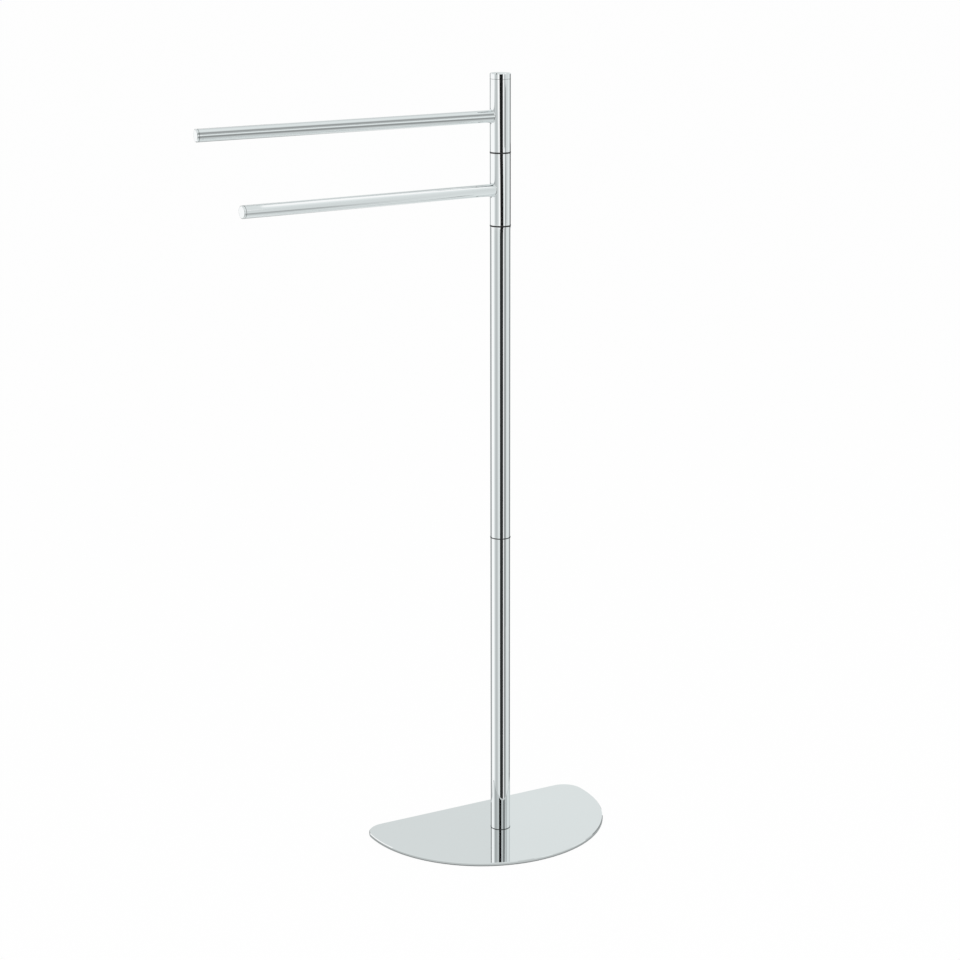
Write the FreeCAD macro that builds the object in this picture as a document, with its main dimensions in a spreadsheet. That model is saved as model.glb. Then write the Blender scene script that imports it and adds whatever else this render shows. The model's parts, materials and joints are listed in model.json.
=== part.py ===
import FreeCAD, Part
import math
import os
import re
import Sketcher

# Freestanding towel stand with two swivelling arms, in millimetres.
# +Z is up, the post's axis is the Z axis, and Z = 0 is the floor. The straight edge of the
# base plate lies at the back, along X, and the curved edge faces the front, towards -Y.
# Each arm is drawn along its own +X and then turned about the post to its place.

# Sizes that can be chosen freely: name, value, what it measures.
SIZES = [
    ("plate_width", 316.0, "base plate, end to end along its straight edge"),
    ("plate_back", 83.5, "straight edge of the base plate behind the post's axis"),
    ("plate_front", 109.5, "curved edge of the base plate in front of the post's axis"),
    ("plate_corner", 26.5, "corner radius of the base plate"),
    ("plate_thickness", 4.0, "base plate"),
    ("plate_edge_bevel", 0.8, "bevel along the plate's upper edge"),
    ("underlay_thickness", 0.8, "anti-slip sheet under the plate"),
    ("underlay_inset", 1.5, "edge of the sheet inside the edge of the plate"),
    ("underlay_hole", 24.0, "diameter of the hole in the sheet for the base screw"),
    ("post_diameter", 25.0, "post tubes and arm hubs"),
    ("post_wall", 1.2, "wall of the post tubes and arm hubs"),
    ("post_tube_length", 389.0, "each of the two post tubes"),
    ("seam_groove", 0.25, "small chamfer on a cap where it meets its tube"),
    ("ring_proud", 0.2, "black rings beyond the surface of the post"),
    ("joint_ring_thickness", 1.2, "ring between the two post tubes"),
    ("bush_flange", 1.8, "flange of a hub's lower bush, seen as a black ring"),
    ("hub_length", 86.0, "each arm hub"),
    ("arm_height_in_hub", 42.4, "arm's axis above the lower end of its hub"),
    ("cap_height", 7.0, "visible part of the cap on the post"),
    ("cap_bevel", 1.0, "bevel round the cap's upper edge"),
    ("cap_spigot_length", 7.0, "part of the cap inside the upper hub"),
    ("cap_spigot_wall", 1.5, "wall of that part"),
    ("plug_length", 18.0, "threaded plugs inside the post tubes"),
    ("plug_recess", 0.5, "plugs below the tube ends"),
    ("stud_diameter", 10.0, "joint stud and swivel spindle"),
    ("stud_engagement", 14.0, "stud or spindle inside a plug"),
    ("spindle_chamfer", 1.0, "chamfer on both ends of the spindle"),
    ("base_screw_diameter", 8.0, "thread of the screw under the plate"),
    ("base_screw_head", 16.0, "countersunk head of that screw"),
    ("base_screw_reach", 13.0, "that screw above the plate"),
    ("base_hole_spare", 3.0, "tapped hole beyond the end of that screw"),
    ("foot_plug_end", 4.0, "closed end of the foot plug above its tapped hole"),
    ("base_screw_socket", 5.0, "hexagon socket in its head, across flats"),
    ("base_screw_socket_depth", 2.4, "depth of that socket"),
    ("bush_length", 12.0, "part of a bush inside a hub"),
    ("lower_bush_recess", 1.0, "plain bush below the upper end of the lower hub"),
    ("upper_bush_clearance", 3.2, "plain bush of the upper hub above its saddle washer"),
    ("spindle_step", 1.0, "radial step from the spindle to its threaded upper end"),
    ("spindle_shoulder_drop", 1.0, "that step below the top of the upper bush"),
    ("nut_across_flats", 13.0, "lock nut on the spindle"),
    ("nut_height", 6.5, "hexagon of the lock nut"),
    ("nut_collar_height", 1.5, "round collar on the lock nut"),
    ("nut_collar_diameter", 11.0, "round collar on the lock nut"),
    ("nut_thread_end", 1.0, "end of the spindle above the lock nut"),
    ("washer_diameter", 17.0, "flat washer and disc spring"),
    ("washer_thickness", 1.6, "flat washer"),
    ("spring_thickness", 0.7, "sheet of the disc spring"),
    ("spring_rise", 0.6, "cone of the disc spring, under load"),
    ("arm_diameter", 15.0, "arms"),
    ("arm_wall", 1.2, "wall of the arm tubes"),
    ("upper_arm_length", 380.5, "post's axis to the free end of the upper arm"),
    ("lower_arm_length", 350.5, "post's axis to the free end of the lower arm"),
    ("upper_arm_swing_angle", -3.9, "upper arm's angle from the plate's straight edge to the front"),
    ("lower_arm_swing_angle", 4.6, "lower arm's angle from the plate's straight edge to the front"),
    ("upper_arm_droop_angle", 0.9, "slope of the upper arm, lower at its free end"),
    ("lower_arm_droop_angle", 0.0, "slope of the lower arm, lower at its free end"),
    ("arm_cap_length", 2.5, "visible part of an arm's end cap"),
    ("arm_cap_bevel", 0.5, "bevel round the end cap's outer edge"),
    ("arm_cap_spigot", 8.0, "part of the end cap inside the arm"),
    ("root_plug_length", 16.0, "threaded plug in the arm's root"),
    ("arm_screw_diameter", 6.0, "screw that fastens an arm"),
    ("arm_screw_head", 10.0, "head of that screw"),
    ("arm_screw_head_height", 2.8, "head of that screw"),
    ("arm_screw_reach", 12.0, "that screw beyond the hub's surface"),
    ("arm_screw_socket", 3.0, "hexagon socket in its head, across flats"),
    ("arm_screw_socket_depth", 1.6, "depth of that socket"),
    ("saddle_diameter", 10.0, "saddle washer inside the hub"),
    ("saddle_crown", 2.0, "saddle washer at its middle"),
    ("press_gap", 0.03, "radial gap of a pressed or screwed fit"),
    ("running_gap", 0.05, "radial gap of a bush on the spindle"),
    ("screw_clearance", 0.3, "radial gap of a plain screw hole"),
]

# Sizes and heights that follow from those above: name, rule.
DERIVED = [
    ("plate_top", "underlay_thickness + plate_thickness"),
    ("plate_half", "plate_width / 2"),
    ("corner_x", "plate_half - plate_corner"),
    ("corner_y", "plate_back - plate_corner"),
    # The front arc touches both corner arcs and passes through the front point.
    ("corner_rise", "plate_front + corner_y"),
    ("front_radius", "(corner_x ^ 2 + corner_rise ^ 2 - plate_corner ^ 2)"
                     " / (2 * (corner_rise - plate_corner))"),
    ("post_radius", "post_diameter / 2"),
    ("post_bore", "post_radius - post_wall"),
    ("ring_radius", "post_radius + ring_proud"),
    ("plug_radius", "post_bore - press_gap"),
    ("stud_radius", "stud_diameter / 2"),
    ("tapped_radius", "stud_radius + press_gap"),
    ("base_tapped_radius", "base_screw_diameter / 2 + press_gap"),
    ("base_hole_depth", "base_screw_reach + base_hole_spare"),
    ("foot_plug_length", "base_hole_depth + foot_plug_end"),
    ("head_cone", "(base_screw_head - base_screw_diameter) / 2"),
    ("bush_bore", "stud_radius + running_gap"),
    ("thread_radius", "stud_radius - spindle_step"),
    ("washer_bore", "thread_radius + screw_clearance"),
    ("cap_spigot_bore", "plug_radius - cap_spigot_wall"),
    ("arm_radius", "arm_diameter / 2"),
    ("arm_bore", "arm_radius - arm_wall"),
    ("arm_plug_radius", "arm_bore - press_gap"),
    ("cope_radius", "post_radius + press_gap"),
    ("arm_tapped_radius", "arm_screw_diameter / 2 + press_gap"),
    ("arm_hole_radius", "arm_screw_diameter / 2 + screw_clearance"),
    ("saddle_face", "post_bore - saddle_crown"),
    # Heights along the post, from the floor up.
    ("lower_tube_top", "plate_top + post_tube_length"),
    ("upper_tube_foot", "lower_tube_top + joint_ring_thickness"),
    ("upper_tube_top", "upper_tube_foot + post_tube_length"),
    ("lower_hub_foot", "upper_tube_top + bush_flange"),
    ("lower_hub_top", "lower_hub_foot + hub_length"),
    ("upper_hub_foot", "lower_hub_top + bush_flange"),
    ("upper_hub_top", "upper_hub_foot + hub_length"),
    ("lower_arm_height", "lower_hub_foot + arm_height_in_hub"),
    ("upper_arm_height", "upper_hub_foot + arm_height_in_hub"),
    ("spindle_foot", "upper_tube_top - plug_recess - stud_engagement"),
    ("lower_bush_foot", "lower_hub_top - lower_bush_recess - bush_length"),
    ("upper_bush_foot", "upper_arm_height + saddle_diameter / 2 + upper_bush_clearance"),
    ("upper_bush_top", "upper_bush_foot + bush_length"),
    ("spring_height", "spring_thickness + spring_rise"),
    ("washer_foot", "upper_bush_top + spring_height"),
    ("nut_foot", "washer_foot + washer_thickness"),
    ("nut_top", "nut_foot + nut_height + nut_collar_height"),
]

SAME = 1e-4  # two lengths or volumes closer than this are the same

document = FreeCAD.newDocument("TowelStand")
sizes = document.addObject("Spreadsheet::Sheet", "Sizes")
derived = document.addObject("Spreadsheet::Sheet", "Derived")
SHEET_OF = {row[0]: "Sizes" for row in SIZES}
SHEET_OF.update({row[0]: "Derived" for row in DERIVED})
bodies = []


def bound(rule):
    """The rule as an expression, with each name led by the sheet that holds it."""
    def with_sheet(match):
        word = match.group()
        return f"{SHEET_OF[word]}.{word}" if word in SHEET_OF else word
    return re.sub(r"[a-z]\w*", with_sheet, str(rule))


def number(rule):
    """The rule's present value."""
    return float(sizes.evalExpression(bound(rule)))


def fill_sheets():
    """Driving sizes as plain numbers, and the derived ones as formulas."""
    for row, (name, value, meaning) in enumerate(SIZES, 1):
        sizes.set(f"A{row}", meaning)
        sizes.set(f"B{row}", str(value))
        sizes.setAlias(f"B{row}", name)
    document.recompute()
    for row, (name, rule) in enumerate(DERIVED, 1):
        derived.set(f"B{row}", "=" + bound(rule))
        derived.setAlias(f"B{row}", name)
        document.recompute()


# ---------------------------------------------------------------- sketches and features

def new_body(label, height="0"):
    """An empty body at a height on the post."""
    body = document.addObject("PartDesign::Body", label)
    body.Label = label
    body.setExpression("Placement.Base.z", bound(height))
    bodies.append(body)
    return body


def arm_body(label, which, slope=None):
    """An empty body at an arm's height, its +X turned along that arm and sloping with it."""
    body = new_body(label)
    rise = bound(f"{which}_arm_height")
    turn = bound(f"180 + {which}_arm_swing_angle")
    slope = bound(slope or f"{which}_arm_droop_angle")
    body.setExpression("Placement", f"placement(vector(0; 0; {rise}); "
                                    f"rotationz({turn}) * rotationy({slope}))")
    return body


def sketch_on(body, name, role, offset=None):
    """A sketch on one of the body's own planes, moved along the plane's normal."""
    sketch = body.newObject("Sketcher::SketchObject", name)
    plane = [each for each in body.Origin.OriginFeatures if each.Role == role][0]
    sketch.AttachmentSupport = [(plane, "")]
    sketch.MapMode = "FlatFace"
    if offset is not None:
        sketch.setExpression("AttachmentOffset.Base.z", bound(offset))
    return sketch


def hold(sketch, kind, where, rule, *values):
    """A dimension on the sketch that follows a rule."""
    index = sketch.addConstraint(Sketcher.Constraint(kind, *values, number(rule)))
    name = f"{where}_{kind.lower()}"
    sketch.renameConstraint(index, name)
    sketch.setExpression(f"Constraints.{name}", bound(rule))


def outline_sketch(body, name, role, corners):
    """A closed outline of straight lines through corners given as (across, up) rules."""
    sketch = sketch_on(body, name, role)
    points = [FreeCAD.Vector(number(across), number(up), 0) for across, up in corners]
    count = len(points)
    for index, point in enumerate(points):
        sketch.addGeometry(Part.LineSegment(point, points[(index + 1) % count]))
    for index in range(count):
        sketch.addConstraint(Sketcher.Constraint("Coincident", index, 2, (index + 1) % count, 1))
    for index, (across, up) in enumerate(corners):
        hold(sketch, "DistanceX", f"corner{index}", across, -1, 1, index, 1)
        hold(sketch, "DistanceY", f"corner{index}", up, -1, 1, index, 1)
    return sketch


def circle_sketch(body, name, role, radii, offset=None):
    """Concentric circles about the plane's origin."""
    sketch = sketch_on(body, name, role, offset)
    centre, normal = FreeCAD.Vector(0, 0, 0), FreeCAD.Vector(0, 0, 1)
    for index, radius in enumerate(radii):
        sketch.addGeometry(Part.Circle(centre, normal, number(radius)))
        sketch.addConstraint(Sketcher.Constraint("Coincident", index, 3, -1, 1))
        hold(sketch, "Radius", f"circle{index}", radius, index)
    return sketch


def hexagon_sketch(body, name, role, across_flats, offset=None):
    """A regular hexagon about the plane's origin, with two sides along the first axis."""
    sketch = sketch_on(body, name, role, offset)
    corner_radius = number(across_flats) / math.sqrt(3)
    points = [FreeCAD.Vector(corner_radius * math.cos(math.radians(60 * step)),
                             corner_radius * math.sin(math.radians(60 * step)), 0)
              for step in range(6)]
    for step in range(6):
        sketch.addGeometry(Part.LineSegment(points[step], points[(step + 1) % 6]))
    circle = sketch.addGeometry(
        Part.Circle(FreeCAD.Vector(0, 0, 0), FreeCAD.Vector(0, 0, 1), corner_radius), True)
    sketch.addConstraint(Sketcher.Constraint("Coincident", circle, 3, -1, 1))
    for step in range(6):
        sketch.addConstraint(Sketcher.Constraint("Coincident", step, 2, (step + 1) % 6, 1))
        sketch.addConstraint(Sketcher.Constraint("PointOnObject", step, 1, circle))
        if step:
            sketch.addConstraint(Sketcher.Constraint("Equal", 0, step))
    sketch.addConstraint(Sketcher.Constraint("Horizontal", 1))
    hold(sketch, "Radius", "corners", f"({across_flats}) / 3 ^ 0.5", circle)
    return sketch


def feature(body, kind, name, sketch, **settings):
    """A sketch-based feature with its settings, some of them rules."""
    made = body.newObject(f"PartDesign::{kind}", name)
    made.Profile = sketch
    for setting, value in settings.items():
        if isinstance(value, str) and setting in ("Length", "Radius", "Size"):
            made.setExpression(setting, bound(value))
        else:
            setattr(made, setting, value)
    sketch.Visibility = False
    document.recompute()
    return made


def turned(body, corners, axis="V_Axis"):
    """The body turned from an outline about the upright (V) or the level (H) axis."""
    sketch = outline_sketch(body, body.Label + "_outline", "XZ_Plane", corners)
    return feature(body, "Revolution", body.Label + "_turned", sketch,
                   ReferenceAxis=(sketch, [axis]), Angle=360.0)


def cut(body, name, sketch, **settings):
    """A pocket, tested to have taken material away."""
    before = body.Shape.Volume
    made = feature(body, "Pocket", name, sketch, **settings)
    if not made.Shape.Volume < before - SAME:
        raise RuntimeError(f"{name} cuts nothing from {body.Label}")
    return made


def bevel_level_edges(body, name, base, size, height):
    """A chamfer on those edges of the base feature that lie level at a height."""
    def level(edge):
        low, high = edge.BoundBox.ZMin, edge.BoundBox.ZMax
        return abs(low - number(height)) < SAME and abs(high - number(height)) < SAME

    edges = [f"Edge{index}" for index, edge in enumerate(base.Shape.Edges, 1) if level(edge)]
    made = body.newObject("PartDesign::Chamfer", name)
    made.Base = (base, edges)
    made.setExpression("Size", bound(size))
    document.recompute()
    return made


# ------------------------------------------------------------------------- base of the stand

def plate_sketch(body, name, inset):
    """The D outline: a straight back edge, two corner arcs and one front arc that meet them."""
    sketch = sketch_on(body, name, "XY_Plane")
    gap = number(inset)
    half = number("corner_x")
    back, corner_y = number("plate_back") - gap, number("corner_y")
    corner, front = number("plate_corner") - gap, number("front_radius") - gap
    front_centre = number("front_radius") - number("plate_front")
    touch = math.atan2(corner_y - front_centre, half)
    normal = FreeCAD.Vector(0, 0, 1)

    def arc(x, y, radius, start, end):
        circle = Part.Circle(FreeCAD.Vector(x, y, 0), normal, radius)
        return sketch.addGeometry(Part.ArcOfCircle(circle, start, end))

    straight = sketch.addGeometry(Part.LineSegment(FreeCAD.Vector(half, back, 0),
                                                   FreeCAD.Vector(-half, back, 0)))
    left = arc(-half, corner_y, corner, math.pi / 2, math.pi - touch)
    curve = arc(0, front_centre, front, math.pi - touch, 2 * math.pi + touch)
    right = arc(half, corner_y, corner, touch, math.pi / 2)
    for first, first_end, second, second_end in (
            (straight, 2, left, 1), (left, 2, curve, 1), (curve, 2, right, 1), (right, 2, straight, 1)):
        sketch.addConstraint(Sketcher.Constraint("Tangent", first, first_end, second, second_end))
    sketch.addConstraint(Sketcher.Constraint("Symmetric", left, 3, right, 3, -2))
    hold(sketch, "Radius", "left", f"plate_corner - ({inset})", left)
    hold(sketch, "Radius", "right", f"plate_corner - ({inset})", right)
    hold(sketch, "Radius", "front", f"front_radius - ({inset})", curve)
    hold(sketch, "DistanceX", "right_centre", "corner_x", -1, 1, right, 3)
    hold(sketch, "DistanceY", "straight", f"plate_back - ({inset})", -1, 1, straight, 1)
    return sketch


def make_underlay():
    """The thin sheet under the plate, open round the screw's head."""
    body = new_body("anti_slip_underlay")
    outline = plate_sketch(body, "underlay_outline", "underlay_inset")
    feature(body, "Pad", "underlay_sheet", outline, Length="underlay_thickness")
    hole = circle_sketch(body, "underlay_hole_circle", "XY_Plane", ["underlay_hole / 2"])
    cut(body, "underlay_opening", hole, Type="ThroughAll", Reversed=True)


def make_base_plate():
    """The plate, its countersunk hole opening downwards and its upper edge bevelled."""
    body = new_body("base_plate", "underlay_thickness")
    slab = feature(body, "Pad", "plate_slab", plate_sketch(body, "plate_outline", "0"),
                   Length="plate_thickness")
    bevel_level_edges(body, "plate_bevel", slab, "plate_edge_bevel", "plate_thickness")
    before = body.Shape.Volume
    mouth = "base_screw_head / 2 + press_gap"
    throat = "base_screw_diameter / 2 + screw_clearance"
    cone = outline_sketch(body, "countersink_outline", "XZ_Plane", [
        ("0", "0"), (mouth, "0"), (throat, "head_cone - screw_clearance + press_gap"),
        (throat, "plate_thickness"), ("0", "plate_thickness")])
    feature(body, "Groove", "countersink", cone, ReferenceAxis=(cone, ["V_Axis"]), Angle=360.0)
    if not body.Shape.Volume < before - SAME:
        raise RuntimeError("the countersink cuts nothing")


def make_base_screw():
    body = new_body("base_screw", "underlay_thickness")
    shank = "base_screw_diameter / 2"
    end = "plate_thickness + base_screw_reach"
    turned(body, [("0", "0"), ("base_screw_head / 2", "0"), (shank, "head_cone"),
                  (shank, end), ("0", end)])
    socket = hexagon_sketch(body, "base_screw_hexagon", "XY_Plane", "base_screw_socket")
    cut(body, "base_screw_recess", socket, Length="base_screw_socket_depth", Reversed=True)


# --------------------------------------------------------------------------------- the post

def make_tube(label, foot, length):
    """A plain tube of the post."""
    turned(new_body(label, foot), [
        ("post_bore", "0"), ("post_radius", "0"), ("post_radius", length), ("post_bore", length)])


def make_foot_plug():
    """The plug in the foot of the post, with a blind tapped hole for the base screw."""
    turned(new_body("foot_plug", "plate_top"), [
        ("base_tapped_radius", "0"), ("plug_radius", "0"), ("plug_radius", "foot_plug_length"),
        ("0", "foot_plug_length"), ("0", "base_hole_depth"), ("base_tapped_radius", "base_hole_depth")])


def make_threaded_plug(label, foot):
    """A plug tapped right through."""
    turned(new_body(label, foot), [
        ("tapped_radius", "0"), ("plug_radius", "0"), ("plug_radius", "plug_length"),
        ("tapped_radius", "plug_length")])


def make_ring():
    """The thin black ring between the two post tubes."""
    turned(new_body("post_joint_ring", "lower_tube_top"), [
        ("stud_radius + screw_clearance", "0"), ("ring_radius", "0"),
        ("ring_radius", "joint_ring_thickness"), ("stud_radius + screw_clearance", "joint_ring_thickness")])


def make_stud():
    """The stud that draws the two tubes together over the ring."""
    length = "2 * (plug_recess + stud_engagement) + joint_ring_thickness"
    turned(new_body("post_joint_stud", "lower_tube_top - plug_recess - stud_engagement"), [
        ("0", "0"), ("stud_radius", "0"), ("stud_radius", length), ("0", length)])


def make_post():
    make_foot_plug()
    make_tube("lower_post_tube", "plate_top", "post_tube_length")
    make_threaded_plug("lower_post_head_plug", "lower_tube_top - plug_recess - plug_length")
    make_ring()
    make_stud()
    make_threaded_plug("upper_post_foot_plug", "upper_tube_foot + plug_recess")
    make_tube("upper_post_tube", "upper_tube_foot", "post_tube_length")
    make_threaded_plug("spindle_plug", "upper_tube_top - plug_recess - plug_length")


# --------------------------------------------------------------------------- the swivel head

def make_spindle():
    """The rod that both hubs turn on, stepped down to the lock nut's thread at its top."""
    shoulder = "upper_bush_top - spindle_shoulder_drop - spindle_foot"
    end = "nut_top + nut_thread_end - spindle_foot"
    turned(new_body("swivel_spindle", "spindle_foot"), [
        ("0", "0"), ("stud_radius - spindle_chamfer", "0"), ("stud_radius", "spindle_chamfer"),
        ("stud_radius", shoulder), ("thread_radius", shoulder),
        ("thread_radius", f"{end} - spindle_chamfer"), ("thread_radius - spindle_chamfer", end),
        ("0", end)])


def make_disc_spring():
    """A shallow cone of spring sheet, which keeps the swivels from swinging by themselves."""
    rim = "washer_diameter / 2"
    turned(new_body("spindle_disc_spring", "upper_bush_top"), [
        ("washer_bore", "spring_rise"), (rim, "0"), (rim, "spring_thickness"),
        ("washer_bore", "spring_height")])


def make_flat_washer():
    turned(new_body("spindle_flat_washer", "washer_foot"), [
        ("washer_bore", "0"), ("washer_diameter / 2", "0"), ("washer_diameter / 2", "washer_thickness"),
        ("washer_bore", "washer_thickness")])


def make_lock_nut():
    """A hexagon nut with the round collar that grips the thread."""
    body = new_body("spindle_lock_nut", "nut_foot")
    hexagon = hexagon_sketch(body, "nut_hexagon", "XY_Plane", "nut_across_flats")
    feature(body, "Pad", "nut_block", hexagon, Length="nut_height")
    collar = circle_sketch(body, "nut_collar_circle", "XY_Plane", ["nut_collar_diameter / 2"], "nut_height")
    feature(body, "Pad", "nut_collar", collar, Length="nut_collar_height")
    hole = circle_sketch(body, "nut_hole_circle", "XY_Plane", ["thread_radius + press_gap"])
    cut(body, "nut_hole", hole, Type="ThroughAll", Reversed=True)


def make_bush(label, foot, flanged):
    """A plain bush, or one whose flange shows as a black ring under the hub."""
    if flanged:
        corners = [("bush_bore", "0"), ("ring_radius", "0"), ("ring_radius", "bush_flange"),
                   ("plug_radius", "bush_flange"), ("plug_radius", "bush_flange + bush_length"),
                   ("bush_bore", "bush_flange + bush_length")]
    else:
        corners = [("bush_bore", "0"), ("plug_radius", "0"), ("plug_radius", "bush_length"),
                   ("bush_bore", "bush_length")]
    turned(new_body(label, foot), corners)


def make_hub_sleeve(which):
    """A short upright tube with a hole on one side for the arm's screw."""
    body = arm_body(f"{which}_hub_sleeve", which, slope="0")
    low = "0 - arm_height_in_hub"
    high = "hub_length - arm_height_in_hub"
    turned(body, [
        ("post_bore", low), ("post_radius", low), ("post_radius", high), ("post_bore", high)])
    hole = circle_sketch(body, f"{which}_hub_hole", "YZ_Plane", ["arm_hole_radius"])
    cut(body, f"{which}_hub_opening", hole, Type="ThroughAll", Reversed=True)


def make_post_cap():
    """The chromed cap pressed into the upper hub, with its upper edge bevelled."""
    top = "cap_spigot_length + cap_height"
    turned(new_body("post_cap", "upper_hub_top - cap_spigot_length"), [
        ("cap_spigot_bore", "0"), ("plug_radius", "0"), ("plug_radius", "cap_spigot_length"),
        ("post_radius - seam_groove", "cap_spigot_length"),
        ("post_radius", "cap_spigot_length + seam_groove"), ("post_radius", f"{top} - cap_bevel"),
        ("post_radius - cap_bevel", top), ("0", top), ("0", "cap_spigot_length"),
        ("cap_spigot_bore", "cap_spigot_length")])


# --------------------------------------------------------------------------------- the arms

def upright_circles(body, which, name, radii):
    """Circles about the post's axis, level on an arm that slopes."""
    sketch = circle_sketch(body, name, "XY_Plane", radii)
    level = bound(f"0 - {which}_arm_droop_angle")
    sketch.setExpression("AttachmentOffset", f"placement(vector(0; 0; 0); rotationy({level}))")
    return sketch


def cope(body, which, piece):
    """The saddle-shaped end that seats against the round hub."""
    circle = upright_circles(body, which, f"{which}_{piece}_cope_circle", ["cope_radius"])
    cut(body, f"{which}_{piece}_cope", circle, Type="ThroughAll", Midplane=True)


def make_arm_tube(which):
    body = arm_body(f"{which}_arm_tube", which)
    section = circle_sketch(body, f"{which}_arm_section", "YZ_Plane", ["arm_radius", "arm_bore"])
    feature(body, "Pad", f"{which}_arm_length_pad", section, Length=f"{which}_arm_length - arm_cap_length")
    cope(body, which, "arm")


def make_root_plug(which):
    """The plug in the arm's root, coped like the tube and tapped for the arm's screw."""
    body = arm_body(f"{which}_arm_root_plug", which)
    section = circle_sketch(body, f"{which}_plug_section", "YZ_Plane",
                            ["arm_plug_radius", "arm_tapped_radius"])
    feature(body, "Pad", f"{which}_plug_pad", section, Length="post_radius + root_plug_length")
    cope(body, which, "plug")


def make_saddle_washer(which):
    """A washer inside the hub, flat for the screw's head and round for the tube's wall."""
    body = arm_body(f"{which}_arm_saddle_washer", which)
    section = circle_sketch(body, f"{which}_saddle_section", "YZ_Plane",
                            ["saddle_diameter / 2", "arm_hole_radius"], "saddle_face")
    feature(body, "Pad", f"{which}_saddle_pad", section, Length="saddle_crown + post_wall")
    outside = upright_circles(body, which, f"{which}_saddle_outside", ["plug_radius", "post_diameter"])
    cut(body, f"{which}_saddle_crown", outside, Type="ThroughAll", Midplane=True)


def make_arm_screw(which):
    """The screw through the hub's wall, with its head and hexagon socket inside the hub."""
    body = arm_body(f"{which}_arm_screw", which)
    start = "saddle_face - arm_screw_head_height"
    end = "post_radius + arm_screw_reach"
    head, shank = "arm_screw_head / 2", "arm_screw_diameter / 2"
    turned(body, [
        (start, "0"), (start, head), ("saddle_face", head), ("saddle_face", shank), (end, shank),
        (end, "0")], "H_Axis")
    socket = hexagon_sketch(body, f"{which}_screw_hexagon", "YZ_Plane", "arm_screw_socket", start)
    cut(body, f"{which}_screw_recess", socket, Length="arm_screw_socket_depth", Reversed=True)


def make_arm_cap(which):
    """The short end cap, with its spigot in the tube and its outer edge bevelled."""
    end = f"{which}_arm_length"
    seat = f"{which}_arm_length - arm_cap_length"
    turned(arm_body(f"{which}_arm_end_cap", which), [
        (f"{seat} - arm_cap_spigot", "0"), (f"{seat} - arm_cap_spigot", "arm_plug_radius"),
        (seat, "arm_plug_radius"), (seat, "arm_radius - seam_groove"),
        (f"{seat} + seam_groove", "arm_radius"), (f"{end} - arm_cap_bevel", "arm_radius"),
        (end, "arm_radius - arm_cap_bevel"), (end, "0")], "H_Axis")


def make_arm(which):
    """One hub with its bushes and its arm."""
    make_hub_sleeve(which)
    make_bush(f"{which}_hub_foot_bush", f"{which}_hub_foot - bush_flange", True)
    make_bush(f"{which}_hub_head_bush", f"{which}_bush_foot", False)
    make_arm_tube(which)
    make_root_plug(which)
    make_saddle_washer(which)
    make_arm_screw(which)
    make_arm_cap(which)


# ---------------------------------------------------------------------------- build and write

def problems():
    """Objects that failed, and bodies without a sound solid."""
    found = [each.Name for each in document.Objects
             if "Invalid" in each.State or "Error" in each.State]
    for body in bodies:
        shape = body.Shape
        if shape.isNull() or not shape.isValid() or len(shape.Solids) != 1:
            found.append(body.Label)
    return found


fill_sheets()
make_underlay()
make_base_plate()
make_base_screw()
make_post()
make_spindle()
for each_arm in ("lower", "upper"):
    make_arm(each_arm)
make_disc_spring()
make_flat_washer()
make_lock_nut()
make_post_cap()
document.recompute()

failed = problems()
if failed:
    raise RuntimeError("not sound: " + ", ".join(failed))
os.makedirs("parts", exist_ok=True)
for body in bodies:
    body.Shape.exportStep(os.path.join("parts", body.Label + ".step"))
    box = body.Shape.BoundBox
    print(f"{body.Label:26s} {body.Shape.Volume / 1000:9.2f} cm3  z {box.ZMin:8.2f} to {box.ZMax:8.2f}")
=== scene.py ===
# %% [markdown]
# # A freestanding towel stand in polished chrome
#
# The real stand is a heavy D-shaped foot plate, a straight post and two thin arms that swing round
# the post. Nearly all of it is mirror-bright, so most of this lesson is about what the metal sees:
# the finish itself is simple, and the cards and lamps of a small studio round the stand draw the
# light and dark stripes on it.
#
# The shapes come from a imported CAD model, the frame. This script never moves them. It loads them,
# gives each a finish, adds what the frame leaves out and builds the studio.

# %% Load the frame
import json
import math

import bmesh
import bpy
from mathutils import Matrix, Vector


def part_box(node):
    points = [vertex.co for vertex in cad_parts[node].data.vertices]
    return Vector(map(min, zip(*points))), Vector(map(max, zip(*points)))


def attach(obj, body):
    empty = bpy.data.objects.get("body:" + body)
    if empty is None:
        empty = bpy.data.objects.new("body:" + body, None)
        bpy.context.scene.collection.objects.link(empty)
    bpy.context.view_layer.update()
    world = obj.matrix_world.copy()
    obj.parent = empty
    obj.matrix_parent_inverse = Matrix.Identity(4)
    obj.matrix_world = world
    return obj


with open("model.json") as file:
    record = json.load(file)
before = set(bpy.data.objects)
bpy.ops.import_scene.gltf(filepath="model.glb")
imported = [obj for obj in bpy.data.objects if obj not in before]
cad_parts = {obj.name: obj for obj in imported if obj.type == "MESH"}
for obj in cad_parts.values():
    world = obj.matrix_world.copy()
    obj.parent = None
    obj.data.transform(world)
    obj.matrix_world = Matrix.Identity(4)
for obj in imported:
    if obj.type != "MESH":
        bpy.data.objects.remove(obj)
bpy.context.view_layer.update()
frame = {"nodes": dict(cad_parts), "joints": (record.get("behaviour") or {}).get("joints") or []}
nodes = frame["nodes"]

# %% [markdown]
# ## The camera
#
# The stand was photographed from above and a little from its left. A camera could be moved by eye
# until the picture fits, but real measures can be checked and changed one at a time: how far it
# stands from the post, how high it is, how far it tilts down and how much of the room its lens
# takes in. The walk says how far round the stand the photographer went. Lengths are in metres and
# angles in radians.

# %% Camera
CAMERA_DISTANCE = 2.696
CAMERA_HEIGHT = 1.1708
CAMERA_TILT_DOWN = 0.25521
CAMERA_PAN_LEFT = 0.00938
CAMERA_ROLL = 0.00254
WALK_ROUND = 0.52066
LENS_MM = 84.114
FILM_MM = 36.0
NEAREST_SEEN = 0.1
FURTHEST_SEEN = 60.0

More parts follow.
